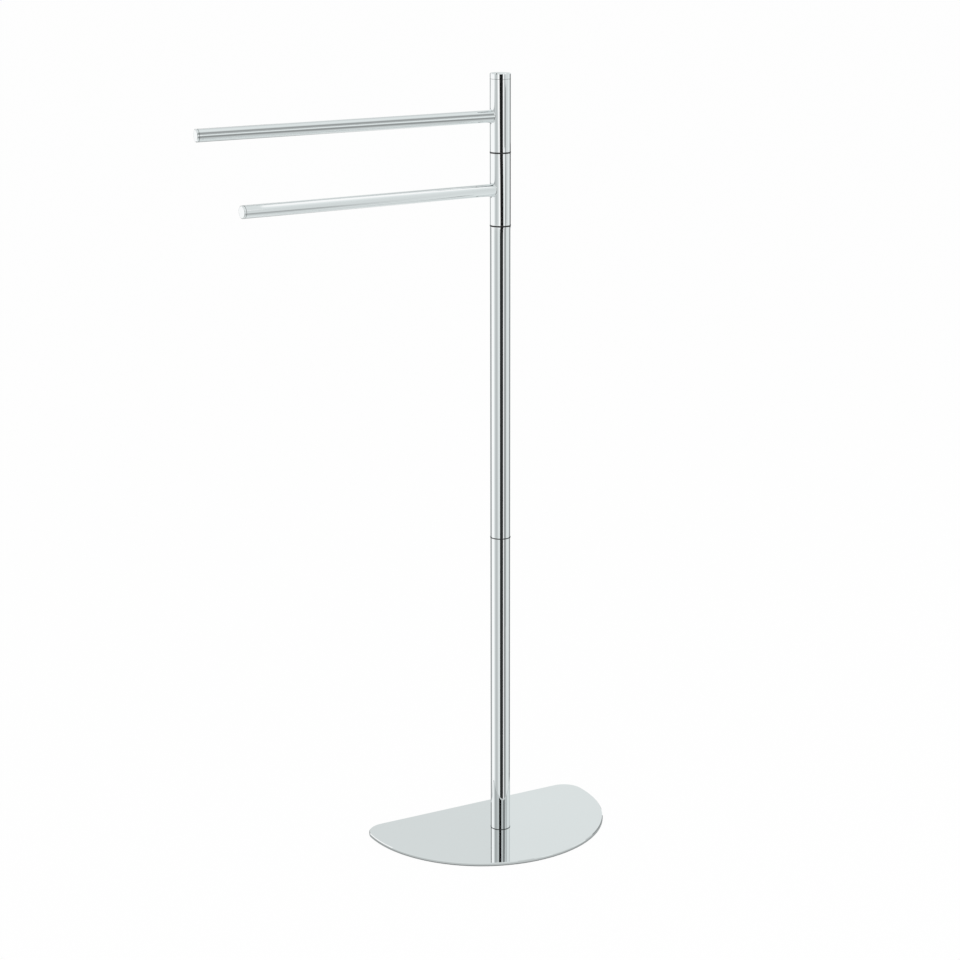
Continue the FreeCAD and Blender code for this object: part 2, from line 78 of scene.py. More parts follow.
camera_data = bpy.data.cameras.new("studio_camera")
camera_data.sensor_width = FILM_MM
camera_data.lens = LENS_MM
camera_data.clip_start = NEAREST_SEEN
camera_data.clip_end = FURTHEST_SEEN
camera = bpy.data.objects.new("studio_camera", camera_data)
bpy.context.scene.collection.objects.link(camera)
stance = Vector((0.0, -CAMERA_DISTANCE, CAMERA_HEIGHT))
walk = Matrix.Rotation(-WALK_ROUND, 4, "Z")
aim = (
    Matrix.Rotation(CAMERA_PAN_LEFT, 4, "Z")
    @ Matrix.Rotation(math.pi / 2 - CAMERA_TILT_DOWN, 4, "X")
    @ Matrix.Rotation(-CAMERA_ROLL, 4, "Z")
)
camera.matrix_world = walk @ Matrix.Translation(stance) @ aim
bpy.context.scene.camera = camera
bpy.context.scene.view_settings.view_transform = "Standard"
print("The camera stands at", [round(v, 3) for v in camera.matrix_world.translation])

# %% [markdown]
# ## The finishes
#
# A procedural material is a small graph of nodes. It could be put together by hand in the shader
# editor, but the finishes would repeat much of it. These helpers keep each graph short: one makes a
# material with its shader, one adds a node, and one spreads a value between two limits.

# %% Helpers for materials
def new_finish(name):
    """A material with a Principled shader. Gives the material, its node tree and the shader."""
    material = bpy.data.materials.new(name)
    material.use_nodes = True
    tree = material.node_tree
    return material, tree, tree.nodes["Principled BSDF"]


def add_node(tree, kind, **settings):
    """A node of that kind, with its input sockets or properties set by name."""
    node = tree.nodes.new(kind)
    for key, value in settings.items():
        socket = node.inputs.get(key.replace("_", " "))
        if socket is not None:
            socket.default_value = value
        else:
            setattr(node, key, value)
    return node


def spread_value(tree, source, low, high):
    """The output of a node that spreads a 0 to 1 value between low and high."""
    node = add_node(tree, "ShaderNodeMapRange")
    node.inputs["To Min"].default_value = low
    node.inputs["To Max"].default_value = high
    tree.links.new(source, node.inputs["Value"])
    return node.outputs["Result"]


print("Helpers for nodes are ready.")

# %% [markdown]
# Real surfaces are never the same all over. Noise in object space is the source of every change
# below: it makes patches of gloss, clouds of colour, and the grain or waves of the surface itself.

# %% Noise, drifting colour and relief
def grain(tree, scale, detail=2.0, stretch=(1.0, 1.0, 1.0)):
    """Noise in object space, in cycles per metre, stretched along an axis where asked."""
    place = add_node(tree, "ShaderNodeTexCoord")
    mapping = add_node(tree, "ShaderNodeMapping")
    mapping.inputs["Scale"].default_value = stretch
    tree.links.new(place.outputs["Object"], mapping.inputs["Vector"])
    noise = add_node(tree, "ShaderNodeTexNoise", Scale=scale, Detail=detail)
    tree.links.new(mapping.outputs["Vector"], noise.inputs["Vector"])
    return noise.outputs["Fac"]


def shade_of(colour, factor):
    """The colour made darker or lighter by a factor."""
    return [part * factor for part in colour]


def drifting_colour(tree, shader, source, colour, other):
    """A base colour that drifts between two colours, as a 0 to 1 value says."""
    drift = add_node(tree, "ShaderNodeMix", data_type="RGBA")
    drift.inputs["A"].default_value = (*colour, 1.0)
    drift.inputs["B"].default_value = (*other, 1.0)
    tree.links.new(source, drift.inputs["Factor"])
    tree.links.new(drift.outputs["Result"], shader.inputs["Base Color"])


def add_bump(tree, shader, height, strength, distance):
    """Fine relief on the shader's normal from a height value."""
    bump = add_node(tree, "ShaderNodeBump", Strength=strength, Distance=distance)
    tree.links.new(height, bump.inputs["Height"])
    tree.links.new(bump.outputs["Normal"], shader.inputs["Normal"])


print("Helpers for noise, colour and relief are ready.")

# %% [markdown]
# ### Chrome plate
#
# Chrome is a thin bright layer over buffed steel or brass. It mirrors sharply, with a faint cold
# tint. Real chrome is never perfect: fingers and cloths leave soft patches where it is a touch
# duller, and buffing leaves a very slight waviness. A perfect mirror would be simpler, but it looks
# drawn: the eye misses the small softness at each stripe. The tubes and the plate were buffed in
# different ways, so one function makes two finishes, each with its own scale and waviness. The post
# is buffed along its length, so the waves of the tubes are long in Z.

# %% Chrome
PATCH_SCALE = 14.0
HAZE_SCALE = 5.0
SHINIEST = 0.012
DULLEST = 0.045
HAZE_SHADE = 0.97
WAVE_STRENGTH = 0.5
ALONG_TUBE = (1.0, 1.0, 0.15)
EVEN = (1.0, 1.0, 1.0)


def chrome_finish(name, tint, wave_scale, wave_height, stretch):
    """Mirror chrome with handled patches and the slight waviness that buffing leaves."""
    material, tree, shader = new_finish(name)
    shader.inputs["Metallic"].default_value = 1.0
    patches = grain(tree, PATCH_SCALE, detail=4.0)
    tree.links.new(spread_value(tree, patches, SHINIEST, DULLEST), shader.inputs["Roughness"])
    haze = grain(tree, HAZE_SCALE)
    drifting_colour(tree, shader, haze, tint, shade_of(tint, HAZE_SHADE))
    waves = grain(tree, wave_scale, detail=1.0, stretch=stretch)
    add_bump(tree, shader, waves, WAVE_STRENGTH, wave_height)
    return material


tube_chrome = chrome_finish("tube_chrome", (0.935, 0.957, 0.962), 60.0, 0.00001, ALONG_TUBE)
plate_chrome = chrome_finish("plate_chrome", (0.93, 0.95, 0.952), 9.0, 0.00015, EVEN)
print("Made", tube_chrome.name, "and", plate_chrome.name)

# %% [markdown]
# ### Black nylon and the dark sheet
#
# The thin black rings are flanges of moulded nylon bushes: satin, with a fine moulded grain. The
# sheet under the plate is dull foam rubber with a coarser grain. A flat black would do from far
# off, but close up moulded things are never quite even. Both are moulded, so one function makes
# both.

# %% Moulded finishes
MOULDED_GLOSS = 0.4
CLOUD_SCALE = 60.0
CLOUD_SHADE = 1.5
GLOSS_DRIFT = 0.15
GRAIN_STRENGTH = 0.4


def moulded_finish(name, colour, rough, grain_scale, grain_height):
    """Plastic or rubber with fine moulded grain and slight changes of gloss."""
    material, tree, shader = new_finish(name)
    shader.inputs["Specular IOR Level"].default_value = MOULDED_GLOSS
    fine = grain(tree, grain_scale, detail=3.0)
    clouds = grain(tree, CLOUD_SCALE)
    drifting_colour(tree, shader, clouds, colour, shade_of(colour, CLOUD_SHADE))
    tree.links.new(spread_value(tree, clouds, rough, rough + GLOSS_DRIFT), shader.inputs["Roughness"])
    add_bump(tree, shader, fine, GRAIN_STRENGTH, grain_height)
    return material


# The same black also paints the thin lines of shade at the post's foot and in the caps' chamfers.
black_nylon_and_shade_lines = moulded_finish("black_nylon_and_shade_lines", (0.012, 0.012, 0.013), 0.35, 2500.0, 0.00002)
foam_sheet = moulded_finish("foam_sheet", (0.045, 0.045, 0.05), 0.7, 900.0, 0.0001)
print("Made", black_nylon_and_shade_lines.name, "and", foam_sheet.name)

# %% [markdown]
# ### The steel inside
#
# Inside the post there are turned steel parts and one blued spring. The stand hides them, but they
# get a finish too, for whoever takes the model apart. A cutting tool leaves fine rings round a
# turned part, which are noise drawn out round the axis, and zinc plating gives it a mottled colour
# and gloss.

# %% Turned metal
MOTTLE_SCALE = 220.0
MOTTLE_SHADE = 0.82
MOTTLE_DULLING = 0.2
RING_SCALE = 900.0
ROUND_THE_AXIS = (0.05, 0.05, 1.0)
RING_STRENGTH = 0.3
RING_HEIGHT = 0.00003


def turned_finish(name, colour, rough):
    """Lathe-turned metal: fine rings across the axis, and a little zinc mottling."""
    material, tree, shader = new_finish(name)
    shader.inputs["Metallic"].default_value = 1.0
    mottle = grain(tree, MOTTLE_SCALE, detail=3.0)
    drifting_colour(tree, shader, mottle, colour, shade_of(colour, MOTTLE_SHADE))
    tree.links.new(spread_value(tree, mottle, rough, rough + MOTTLE_DULLING), shader.inputs["Roughness"])
    rings = grain(tree, RING_SCALE, detail=1.0, stretch=ROUND_THE_AXIS)
    add_bump(tree, shader, rings, RING_STRENGTH, RING_HEIGHT)
    return material


turned_steel = turned_finish("turned_steel", (0.62, 0.62, 0.60), 0.28)
blued_spring = turned_finish("blued_spring", (0.22, 0.24, 0.32), 0.3)
print("Made", turned_steel.name, "and", blued_spring.name)

# %% [markdown]
# ### Dressing the nodes
#
# Each node of the frame names the slot that its finish comes from. The nodes could be dressed one
# by one, but a table from slot to finish dresses them all and misses none. The foot plate then gets
# its own flatter chrome.

# %% Dress the nodes
FINISH_OF_SLOT = {
    "chrome": tube_chrome,
    "black_plastic": black_nylon_and_shade_lines,
    "underlay": foam_sheet,
    "steel": turned_steel,
    "spring_steel": blued_spring,
}
for node in nodes.values():
    slot_name = node.material_slots[0].material.name
    node.material_slots[0].material = FINISH_OF_SLOT[slot_name]
nodes["base_plate"].material_slots[0].material = plate_chrome
print("All", len(nodes), "nodes have their finish.")

# %% [markdown]
# ## Details that the frame leaves out
#
# The frame holds every part, but not the fine lines where parts meet. On the real stand a thin dark
# line of shade runs round the foot of the post, a dark hairline of shade shows where each cap meets
# its tube, and the arms run into the round hubs through a small polished fillet. These two dark lines
# are painted shade: thin black bands stand where the real stand has only shade. A dark line of half a
# millimetre says a lot about how a thing is made. It could be painted on by a material, but geometry
# casts its own shade, holds from every side and stays with the model when it leaves Blender.
#
# All of them are closed rings, so one helper makes them all. It lofts a closed outline through a
# row of sections and joins the last to the first, like a bent and welded bar. The loft is one mesh,
# with smooth shading and crisp edges.

# %% Helpers for meshes and lofts
MM = 0.001
CRISP_EDGE = math.radians(40)


def add_mesh(name, points, faces):
    """A new object with a mesh of those points and faces."""
    mesh = bpy.data.meshes.new(name)
    mesh.from_pydata(points, [], faces)
    made = bpy.data.objects.new(name, mesh)
    bpy.context.scene.collection.objects.link(made)
    return made


def turn_faces_outward(mesh):
    """Makes every face of a closed mesh look outward."""
    shape = bmesh.new()
    shape.from_mesh(mesh)
    bmesh.ops.recalc_face_normals(shape, faces=shape.faces)
    shape.to_mesh(mesh)
    shape.free()


def loft_ring(name, sections, body, finish):
    """A closed ring through a row of closed outlines, riding on a body."""
    size = len(sections[0])
    points = [point for section in sections for point in section]
    faces = []
    for i in range(len(sections)):
        here = i * size
        there = (i + 1) % len(sections) * size
        for j in range(size):
            k = (j + 1) % size
            faces.append((here + j, here + k, there + k, there + j))
    piece = add_mesh(name, points, faces)
    turn_faces_outward(piece.data)
    piece.data.shade_smooth()
    piece.data.set_sharp_from_angle(angle=CRISP_EDGE)
    piece.data.materials.append(finish)
    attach(piece, body)
    return piece


print("Loft helper is ready.")

# %% [markdown]
# ### Where the arms lie
#
# An arm leaves the post's axis at the height of its swivel, which the frame's joints give. The unit
# vector below points from there to the free end. It could be worked out from an arm's mesh, but two
# angles are easier to picture: the arms aren't quite in line with the plate's straight edge, and
# the upper one falls by about a degree.

# %% The arms' lines
UPPER_SWING = -3.9
LOWER_SWING = 4.6
UPPER_DROOP = 0.9
LOWER_DROOP = 0.0


def arm_line(swing, droop):
    """The unit vector from the post to the free end of an arm, from its angles in degrees."""
    turn = math.radians(180 + swing)
    fall = math.radians(droop)
    level = math.cos(fall)
    return Vector((math.cos(turn) * level, math.sin(turn) * level, -math.sin(fall)))


LINE = {
    "upper_arm": arm_line(UPPER_SWING, UPPER_DROOP),
    "lower_arm": arm_line(LOWER_SWING, LOWER_DROOP),
}
SWIVEL = {joint["child"]: Vector(joint["pos_m"]) for joint in frame["joints"]}
for arm, line in LINE.items():
    print(arm, "starts at", round(SWIVEL[arm].z, 4), "m and points to", [round(v, 3) for v in line])

# %% [markdown]
# ### Painted shade at the foot and the caps
#
# The line of shade at the foot is a thin black band on the plate, round the post's foot: painted
# shade where the post meets the plate. The cap lines fill the little chamfers that the caps have
# where they meet their tubes, and stand proud by a few hundredths of a millimetre, so that the dark
# line can be seen from every side. They are painted shade too: black where the chamfers lie in shade.
# A torus would be the quick way, but a band has flat sides, so its outline has six corners.

# %% A thin black band
BAND_SIDES = 96
SOFT_EDGE_SHARE = 0.3


def band(name, inner, outer, width, place, body):
    """A thin black ring with softened edges, its axis along the local Z of place."""
    soft = min(outer - inner, width) * SOFT_EDGE_SHARE
    half = width / 2
    outline = [(inner, -half), (outer - soft, -half), (outer, soft - half), (outer, half - soft),
               (outer - soft, half), (inner, half)]
    sections = []
    for i in range(BAND_SIDES):
        angle = 2 * math.pi * i / BAND_SIDES
        section = [(radius * math.cos(angle), radius * math.sin(angle), z) for radius, z in outline]
        sections.append([place @ Vector(point) for point in section])
    # This black paints the lines of shade at the foot and in the caps' chamfers, and the end caps' rims.
    return loft_ring(name, sections, body, black_nylon_and_shade_lines)


def upright_place(height):
    """A place on the post's axis."""
    return Matrix.Translation((0.0, 0.0, height))


def place_on_arm(arm, distance):
    """A place on an arm's axis, that far from the post's axis, with Z along the arm."""
    line = LINE[arm]
    along = line.to_track_quat("Z", "Y").to_matrix().to_4x4()
    return Matrix.Translation(SWIVEL[arm] + line * distance) @ along


print("Each band has", BAND_SIDES, "sides.")

# %% [markdown]
# With the helper in place, each line is one call. The foot's shade line stands on the plate's own
# top, which is measured from the frame.

# %% Painted shade lines
POST_RADIUS = 12.5 * MM
ARM_RADIUS = 7.5 * MM
PLATE_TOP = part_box("base_plate")[1][2]
SHADE_LINE_HEIGHT = 0.55 * MM
SHADE_LINE_THICKNESS = 0.2 * MM
SEAM_DEPTH = 0.3 * MM
SEAM_PROUD = 0.03 * MM
POST_SEAM_WIDTH = 0.3 * MM
POST_SEAM_AT = 959.6 * MM
ARM_SEAM_WIDTH = 0.5 * MM
ARM_SEAM_AT = {"upper_arm": 378.0 * MM, "lower_arm": 348.0 * MM}

# Painted shade: a black band where the post's foot meets the plate, a line that is only shade.
band("foot_shade_line", POST_RADIUS, POST_RADIUS + SHADE_LINE_THICKNESS, SHADE_LINE_HEIGHT,
     upright_place(PLATE_TOP + SHADE_LINE_HEIGHT / 2), "root")
# Painted shade: black bands in the caps' chamfers, where shade falls between cap and tube.
band("post_cap_shade_line", POST_RADIUS - SEAM_DEPTH, POST_RADIUS + SEAM_PROUD, POST_SEAM_WIDTH,
     upright_place(POST_SEAM_AT), "upper_arm")
for arm, distance in ARM_SEAM_AT.items():
    band(f"{arm}_cap_shade_line", ARM_RADIUS - SEAM_DEPTH, ARM_RADIUS + SEAM_PROUD, ARM_SEAM_WIDTH,
         place_on_arm(arm, distance), arm)
print("The foot shade line stands on the plate at", round(PLATE_TOP / MM, 2), "mm.")

# %% [markdown]
# The free end of each arm is a bevelled cap. Near the edge of its flat end face, the real cap shows
# a fine dark rim. It could be a groove, but at a fifth of a millimetre a black line looks the same.
# It is the same thin band once more, let into the end face.

# %% Rims of the arms' end caps
RIM_INNER = ARM_RADIUS - 0.72 * MM
RIM_OUTER = ARM_RADIUS - 0.54 * MM
RIM_WIDTH = 0.1 * MM
RIM_PAST_SEAM = 2.46 * MM

for arm, distance in ARM_SEAM_AT.items():
    band(f"{arm}_cap_rim", RIM_INNER, RIM_OUTER, RIM_WIDTH,
         place_on_arm(arm, distance + RIM_PAST_SEAM), arm)
print("The rims are", round((RIM_OUTER - RIM_INNER) / MM, 2), "mm broad.")

# %% [markdown]
# ### Fillets at the arms' roots
#
# The seam of two crossing tubes is a saddle curve. A fillet along it is the path of a small ball
# that rolls round the seam and touches both tubes. The ball's middle lies one ball radius outside
# each tube. From there it touches the arm in one direction and the hub in another, and the fillet
# is the arc between the two. One more point, deeper in the corner, closes the outline. A bevel
# rounds the edges of one mesh, but the arm and the hub are two parts of the frame and have to stay
# as they are, so the fillet is a piece of its own.

# %% Fillets
FILLET = 1.8 * MM
FILLET_STEPS = 8
FILLET_SIDES = 120
CORNER_DEPTH = 1.3


def ball_middle(spoke, line):
    """Where the rolling ball's middle lies when it touches the arm at that spoke, from the swivel."""
    start = spoke * (ARM_RADIUS + FILLET)
    a = line.x ** 2 + line.y ** 2
    b = start.x * line.x + start.y * line.y
    c = start.x ** 2 + start.y ** 2 - (POST_RADIUS + FILLET) ** 2
    return start + line * ((math.sqrt(b * b - a * c) - b) / a)


def root_fillet(arm):
    """The fillet between an arm and its round hub."""
    line = LINE[arm]
    across = line.cross(Vector((0, 0, 1))).normalized()
    upward = across.cross(line)
    sections = []
    for i in range(FILLET_SIDES):
        angle = 2 * math.pi * i / FILLET_SIDES
        spoke = across * math.cos(angle) + upward * math.sin(angle)
        middle = ball_middle(spoke, line)
        to_arm = -spoke
        to_hub = -Vector((middle.x, middle.y, 0.0)).normalized()
        centre = SWIVEL[arm] + middle
        outline = [centre + to_arm.slerp(to_hub, j / FILLET_STEPS) * FILLET
                   for j in range(FILLET_STEPS + 1)]
        corner = centre + (to_arm + to_hub).normalized() * FILLET * CORNER_DEPTH
        sections.append(outline + [corner])
    return loft_ring(f"{arm}_root_fillet", sections, arm, tube_chrome)


for arm in LINE:
    root_fillet(arm)
print("Two fillets of", round(FILLET / MM, 2), "mm are in place.")

# %% [markdown]
# ## The studio
#
# The background of the photograph is pure white. A pale floor could be lit until it is white, but
# that much light would wash out the stand as well. Here the floor glows instead, and only for the
# camera: a Light Path node mixes a white emission of strength 1 over a diffuse floor, so the floor
# reads as white and still holds a trace of the stand's soft shadow. The metal doesn't see the floor
# at all, because in a studio like this it would see cards and a sweep instead.

# %% Floor
FLOOR_HALF = 30.0
FLOOR_GLOW = 0.96
FLOOR_GREY = (0.89, 0.89, 0.89)
FLOOR_PALE_GREY = (0.91, 0.91, 0.91)
SPECKLE_SCALE = 3.0

floor_corners = [(x * FLOOR_HALF, y * FLOOR_HALF, 0.0) for x, y in ((-1, -1), (1, -1), (1, 1), (-1, 1))]
floor = add_mesh("floor", floor_corners, [(0, 1, 2, 3)])
floor_paint, tree, shader = new_finish("floor_paint")
shader.inputs["Roughness"].default_value = 0.9
shader.inputs["Specular IOR Level"].default_value = 0.0
drifting_colour(tree, shader, grain(tree, SPECKLE_SCALE), FLOOR_GREY, FLOOR_PALE_GREY)
glow = add_node(tree, "ShaderNodeEmission", Strength=1.0)
path = add_node(tree, "ShaderNodeLightPath")
share = add_node(tree, "ShaderNodeMath", operation="MULTIPLY")
share.inputs[1].default_value = FLOOR_GLOW
tree.links.new(path.outputs["Is Camera Ray"], share.inputs[0])
blend = add_node(tree, "ShaderNodeMixShader")
tree.links.new(share.outputs["Value"], blend.inputs["Fac"])
tree.links.new(shader.outputs["BSDF"], blend.inputs[1])
tree.links.new(glow.outputs["Emission"], blend.inputs[2])
tree.links.new(blend.outputs["Shader"], tree.nodes["Material Output"].inputs["Surface"])
floor.data.materials.append(floor_paint)
floor.visible_glossy = False
print("The floor is", 2 * FLOOR_HALF, "m across.")

# %% [markdown]
# The room round the floor is white for the camera and for what is mirrored or seen through glass.
# Its light on dull surfaces is a little weaker, so that the rings and the sheet keep their shape.

# %% White room
AMBIENT = 0.8
WHITE = 1.0

world = bpy.data.worlds.new("white_room")
bpy.context.scene.world = world
world.use_nodes = True
room = world.node_tree
background = room.nodes["Background"]
background.inputs["Color"].default_value = (WHITE, WHITE, WHITE, 1.0)
room_path = add_node(room, "ShaderNodeLightPath")
seen = room_path.outputs["Is Camera Ray"]
for kind in ("Is Glossy Ray", "Is Transmission Ray"):
    either = add_node(room, "ShaderNodeMath", operation="MAXIMUM")
    room.links.new(seen, either.inputs[0])
    room.links.new(room_path.outputs[kind], either.inputs[1])
    seen = either.outputs["Value"]
room.links.new(spread_value(room, seen, AMBIENT, WHITE), background.inputs["Strength"])
print("The room gives a light of", AMBIENT, "and is seen as", WHITE)

# %% [markdown]
# ### What the chrome sees
#
# Photographers light chrome with cards: white ones for bright stripes, and black ones, called
# flags, for dark stripes. A picture of a studio wrapped round the sky could do the same, but cards
# can be named, placed and moved one by one, and they stand at real distances. Here a card is a
# glowing sheet that only mirror rays see, so it lights nothing and hides nothing. All cards share
# one paint, which reads its brightness from the mesh, corner by corner. A card can then fade from
# one tone to another, as a card lit from one side does.

# %% Card paint
GLOW_NAME = "glow"
COOL_CARD = 0.955
NEARLY_WHITE = 0.9

card_paint = bpy.data.materials.new("card_paint")
card_paint.use_nodes = True
tree = card_paint.node_tree
tree.nodes.remove(tree.nodes["Principled BSDF"])
card_light = add_node(tree, "ShaderNodeEmission", Strength=1.0)
card_tone = add_node(tree, "ShaderNodeAttribute", attribute_name=GLOW_NAME)
tree.links.new(card_tone.outputs["Color"], card_light.inputs["Color"])
tree.links.new(card_light.outputs["Emission"], tree.nodes["Material Output"].inputs["Surface"])


def grey(value):
    """The colour of a card: a cool grey, or pure white where it is nearly white."""
    red_share = 1.0 if value > NEARLY_WHITE else COOL_CARD
    return (value * red_share, value, value)


def card(name, points, faces, glows):
    """A sheet that only mirrors see, with its brightness given corner by corner, where 1 is white."""
    made = add_mesh(name, points, faces)
    layer = made.data.attributes.new(GLOW_NAME, "FLOAT_COLOR", "POINT")
    for entry, glow in zip(layer.data, glows):
        entry.color = (*glow, 1.0)
    made.data.materials.append(card_paint)
    made.visible_camera = False
    made.visible_diffuse = False
    made.visible_shadow = False
    made.visible_transmission = False
    made.visible_volume_scatter = False
    return made


print("Card paint is ready.")

# %% [markdown]
# An upright round tube mirrors the whole room in a strip as wide as itself: a point that lies
# sideways on the tube by an angle sees the room turned by twice that angle. So each stripe in the
# photograph tells where a card stood. The cards are upright sheets on a ring round the stand, and
# their bearings are in degrees from the line to the camera, to the camera's right.

# %% Upright cards
CARD_RING = 2.4
CARD_STEP = 5


def on_ring(bearing, height, ring):
    """The point on the ring at that bearing and height."""
    angle = math.radians(bearing) - WALK_ROUND
    return (ring * math.sin(angle), -ring * math.cos(angle), height)


def between(stops, step):
    """The stops with more of them in between, about as far apart as the step."""
    steps = []
    for (start, tone_a), (end, tone_b) in zip(stops, stops[1:]):
        parts = max(1, round(abs(end - start) / step))
        steps += [(start + (end - start) * i / parts, tone_a + (tone_b - tone_a) * i / parts)
                  for i in range(parts)]
    return steps + [stops[-1]]


def upright_card(name, stops, low, high, ring=CARD_RING):
    """A curved upright card. Each stop is a bearing and the brightness there."""
    steps = between(stops, CARD_STEP)
    points = [on_ring(bearing, height, ring) for bearing, _ in steps for height in (low, high)]
    glows = [grey(tone) for _, tone in steps for _ in (low, high)]
    faces = [(2 * i, 2 * i + 2, 2 * i + 3, 2 * i + 1) for i in range(len(steps) - 1)]
    return card(name, points, faces, glows)


print("Upright cards have corners about every", CARD_STEP, "degrees, on a ring of", CARD_RING, "m.")

# %% [markdown]
# Two more kinds of upright card have edges or tones that change with height. A leaning card has
# slanting edges, because the photograph's stripes lean a little from hub to hub. A tall card keeps
# its edges, and its brightness changes from its foot to its top.

# %% Leaning and tall cards
def rows_card(name, rows, ring):
    """An upright card in rows. Each row is a height, the left and right bearings and the brightness."""
    points = [on_ring(bearing, height, ring)
              for height, left, right, _ in rows for bearing in (left, right)]
    glows = [grey(tone) for _, _, _, tone in rows for _ in range(2)]
    faces = [(2 * i, 2 * i + 1, 2 * i + 3, 2 * i + 2) for i in range(len(rows) - 1)]
    return card(name, points, faces, glows)


def leaning_card(name, edges, tone, ring=CARD_RING):
    """A card with slanting edges. Each entry is a height and the left and right bearings there."""
    return rows_card(name, [(height, left, right, tone) for height, left, right in edges], ring)


def tall_card(name, left, right, stops, ring):
    """A card between two bearings. Each stop is a height and the brightness there."""
    return rows_card(name, [(height, left, right, tone) for height, tone in stops], ring)


print("Helpers for leaning and tall cards are ready.")

# %% [markdown]
# ### Cards for the tubes of the post
#
# The camera looks down on the stand, so the lower a point on the post is, the lower on the ring is
# what it mirrors. The two post tubes mirror the lowest tier. From left to right there are a dim
# edge, a white card that fades to grey and back, the black flag that draws the long dark stripe, a
# gap, a pale card and a dark flag at the right edge. The gap is a window: through it the post sees
# a ring of cards much further off. A low card closes it at the bottom, and in the photographed view
# only the lowest few centimetres of the post mirror that card. One small grey flag stands in the
# window, ten centimetres from the post, because at its bearings the far ring is needed for the
# arms.

# %% Cards for the tubes
CARD_FOOT = -2.2
HUB_LOW = 0.44
POST_TIER = (CARD_FOOT, HUB_LOW)
WINDOW_FOOT = -0.97
CARD_GAP = 0.01
FRONT_RING = CARD_RING - 2 * CARD_GAP
NEAR_RING = 0.1
NEAR_TIER = (0.25, 0.72)

upright_card("left_edge_card", [(-178, 0.36), (-118, 0.36)], *POST_TIER)
upright_card("left_card", [(-97, 1.0), (-79, 1.0), (-70, 0.75), (-58, 0.58), (-46, 0.51), (-34, 0.58),
                           (-22, 0.78), (-5, 0.88)], *POST_TIER)
upright_card("black_flag", [(-5, 0.030), (31.5, 0.030)], *POST_TIER)
upright_card("low_window_card", [(31, 0.56), (76, 0.56)], CARD_FOOT, WINDOW_FOOT, ring=FRONT_RING)
upright_card("near_flag", [(51.5, 0.35), (64, 0.35)], *NEAR_TIER, ring=NEAR_RING)
upright_card("right_card", [(67, 0.74), (90, 0.81), (115, 0.74), (118, 0.68)], *POST_TIER)
upright_card("right_edge_flag", [(119, 0.22), (152, 0.26)], *POST_TIER)
print("The tubes' cards stand from", CARD_FOOT, "to", HUB_LOW, "m.")

# %% [markdown]
# ### Cards for the hubs
#
# The hubs mirror the next tier up. Their stripes are like the tubes' but not the same: the black
# stripe leans, a narrow white one stands close to its left, and the right edge is darker at the
# lower hub. Cards that overlap stand a centimetre or two behind each other.

# %% Cards for the hubs
CARD_TOP = 0.9
HUB_TIER = (HUB_LOW, CARD_TOP)
HUB_MIDDLE = 0.60
HUB_BLACK = 0.014
MIDDLE_RING = CARD_RING + CARD_GAP
BACK_RING = CARD_RING + 2 * CARD_GAP

upright_card("left_hub_edge_card", [(-178, 0.44), (-134, 0.44)], *HUB_TIER)
upright_card("left_hub_card", [(-112, 1.0), (-72, 1.0), (-60, 0.66), (-48, 0.55), (-38, 0.55), (-28, 0.68),
                               (-18, 0.76), (-11, 0.98), (10, 0.95)], *HUB_TIER, ring=BACK_RING)
leaning_card("white_hub_card", [(HUB_LOW, -15, 4), (0.555, -17.5, 0), (0.62, -21, -4), (0.70, -26, -6),
                                (CARD_TOP, -33, -11)], WHITE, ring=MIDDLE_RING)
leaning_card("black_hub_flag", [(HUB_LOW, 2.0, 35.6), (0.50, 0.2, 35.2), (0.555, -1.4, 33.0),
                                (HUB_MIDDLE, -4.5, 30.3), (0.66, -5.8, 29.3), (CARD_TOP, -12.5, 28)],
             HUB_BLACK)
upright_card("pale_hub_card", [(42, 0.86), (55.5, 0.86)], HUB_LOW, 0.62)
upright_card("right_hub_card", [(75, 0.74), (90, 0.74), (105, 0.86), (122, 0.86)], *HUB_TIER)
upright_card("right_hub_edge_flag", [(124, 0.34), (136, 0.24), (170, 0.24)], *HUB_TIER)
upright_card("dark_hub_edge_flag", [(141, 0.03), (172, 0.03)], HUB_LOW, 0.63, ring=FRONT_RING)
print("The hubs' cards stand from", HUB_LOW, "to", CARD_TOP, "m.")

# %% [markdown]
# ### Higher cards
#
# A third tier stands above the hubs' tier. The post's foot sees it by way of the plate, the hubs
# see it when they are looked at from their own height, and the plate mirrors it when it is looked
# at from behind. The black flag is short here, so that the plate mirrors the grey card over it.

# %% Higher cards
HIGH_TOP = 1.75
HIGH_TIER = (CARD_TOP, HIGH_TOP)
HIGH_BLACK_TOP = 1.16

upright_card("high_left_edge_card", [(-168, 0.22), (-128, 0.24)], *HIGH_TIER)
upright_card("high_left_card", [(-128, 1.0), (-92, 1.0), (-84, 0.92), (-74, 0.60), (-60, 0.40), (-47, 0.46),
                                (-35, 0.56), (-17, 0.66)], *HIGH_TIER)
upright_card("high_black_flag", [(-17, 0.006), (12, 0.006)], CARD_TOP, HIGH_BLACK_TOP)
upright_card("high_front_card", [(-17, 0.66), (12, 0.62)], HIGH_BLACK_TOP, HIGH_TOP)
upright_card("high_pale_card", [(12, 0.62), (30, 0.58)], *HIGH_TIER)
upright_card("high_right_card", [(76, 0.52), (84, 0.52), (90, 0.80), (118, 0.86)], *HIGH_TIER)
upright_card("high_right_edge_card", [(118, 0.62), (152, 0.62)], *HIGH_TIER)
print("The high cards stand from", CARD_TOP, "to", HIGH_TOP, "m.")

